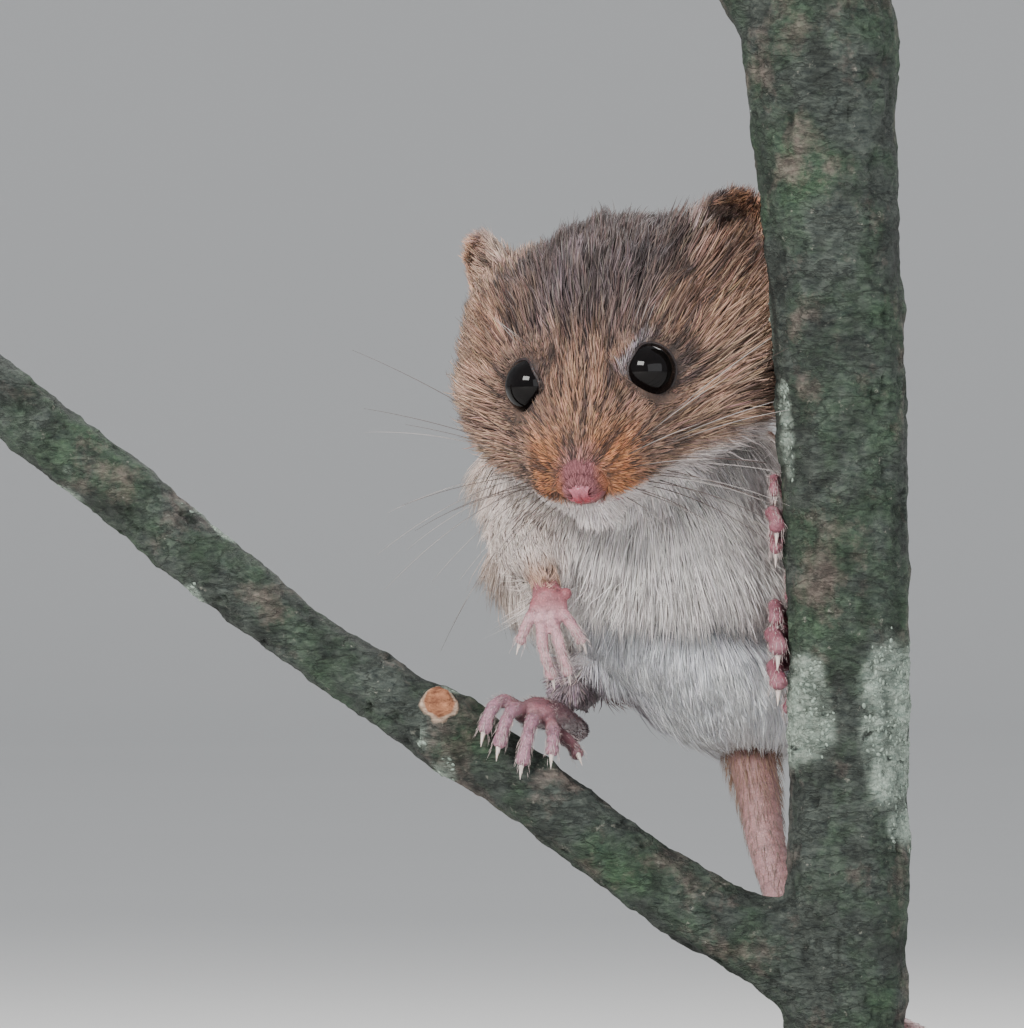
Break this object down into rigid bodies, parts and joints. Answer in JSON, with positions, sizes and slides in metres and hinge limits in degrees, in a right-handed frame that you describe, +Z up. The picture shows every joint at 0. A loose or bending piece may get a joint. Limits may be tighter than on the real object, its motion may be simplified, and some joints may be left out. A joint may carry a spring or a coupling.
{
  "type": "harvest mouse on a stem",
  "caption": "Life-size harvest mouse clinging to a forked, lichen-spotted stem, one forepaw dangling and its tail wound round the stem below, on a plain round stand.",
  "frame": {"origin": "middle of the bottom of the bounding box, level with the underside of the stand's base", "axes": "+Z up along the upright stem; the picture is taken from -Y, so +X is the viewer's right and the mouse's left"},
  "size_m": [0.0582, 0.046, 0.0734],
  "materials": {
    "coat": "short dense brown fur",
    "pale_coat": "soft white fur with a grey root",
    "bare_skin": "soft pink skin, lightly moist",
    "eye": "wet, glossy black",
    "tail_skin": "ringed with fine scales",
    "bark": "rough bark with green algae and lichen",
    "stand": "satin dark grey"
  },
  "bodies": {
    "root": {"head": "coat", "neck": "coat", "chest": "coat", "belly": "pale_coat", "ear_right": "coat", "ear_left": "coat", "eye_right": "eye", "eye_left": "eye", "nose": "bare_skin", "foreleg_right": "coat", "foreleg_left": "coat", "forepaw_right": "bare_skin", "forepaw_left": "bare_skin", "thigh_right": "coat", "thigh_left": "coat", "shank_right": "coat", "shank_left": "coat", "hind_foot_right": "bare_skin", "hind_foot_left": "bare_skin", "tail_1": "tail_skin", "tail_2": "tail_skin", "tail_3": "tail_skin", "tail_4": "tail_skin", "tail_5": "tail_skin", "perch_stem": "bark", "perch_branch": "bark", "stand_rod": "stand", "stand_base": "stand"}
  },
  "joints": []
}
